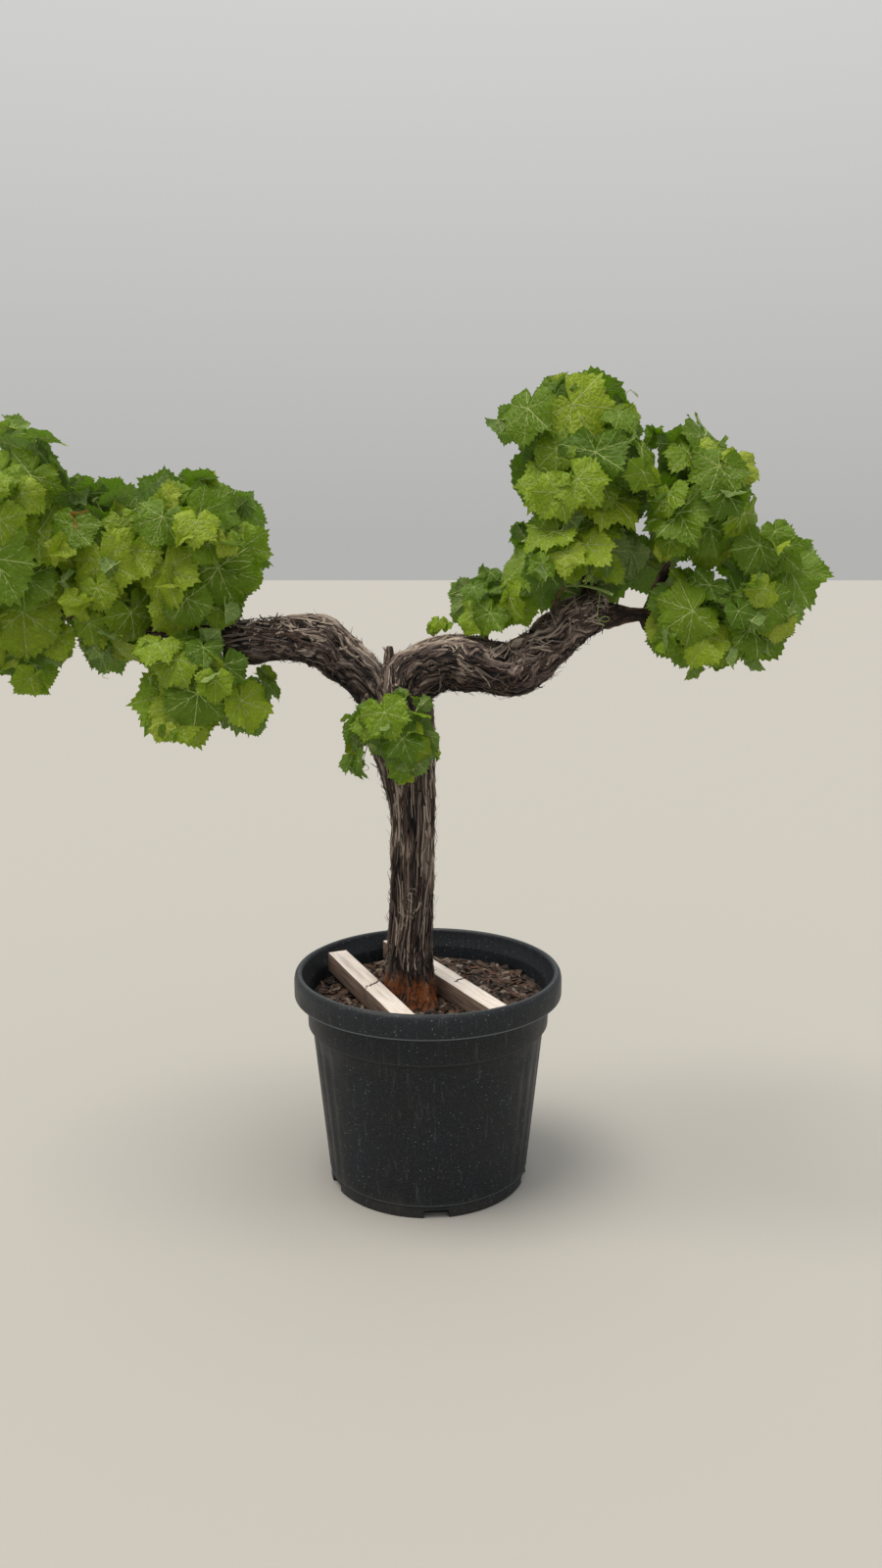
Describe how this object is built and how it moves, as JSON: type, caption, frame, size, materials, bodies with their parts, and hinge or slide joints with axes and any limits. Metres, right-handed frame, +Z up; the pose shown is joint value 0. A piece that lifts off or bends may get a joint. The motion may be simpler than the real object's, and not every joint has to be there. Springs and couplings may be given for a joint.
{
  "type": "potted grapevine",
  "caption": "Old grapevine in a round rolled-rim pot: a shaggy bare trunk forks into gnarled arms that carry masses of broad lobed leaves.",
  "frame": {"origin": "middle of the pot's flat underside, on the surface it stands on", "axes": "+Z up, +X towards the longer right arm as seen from the front, +Y away from the front"},
  "size_m": [1.8051, 0.596, 1.7597],
  "materials": {
    "pot_plastic": "matte",
    "mulch": "matte",
    "batten_wood": "matte",
    "bark": "matte",
    "leaves": "satin"
  },
  "bodies": {
    "root": {"pot": "pot_plastic", "soil": "mulch", "batten_left": "batten_wood", "batten_right": "batten_wood", "trunk": "bark", "left_arm": "bark", "right_arm_inner": "bark", "right_arm_outer": "bark", "right_cane": "bark", "fork_stub": "bark", "cane_stub": "bark", "left_cane": "bark", "left_spur_middle": "bark", "left_spur_inner": "bark", "left_spur_lower": "bark", "right_spur_low": "bark", "right_spur_middle": "bark", "right_spur_tall": "bark", "right_spur_upper": "bark", "right_spur_lower": "bark", "foliage_right_tall": "leaves", "foliage_right_middle": "leaves", "foliage_right_upper": "leaves", "foliage_right_outer": "leaves", "foliage_right_lower": "leaves", "foliage_right_spur": "leaves", "foliage_left_outer": "leaves", "foliage_left_middle": "leaves", "foliage_left_inner": "leaves", "foliage_left_lower": "leaves", "foliage_trunk_tuft": "leaves", "foliage_bud": "leaves"}
  },
  "joints": []
}
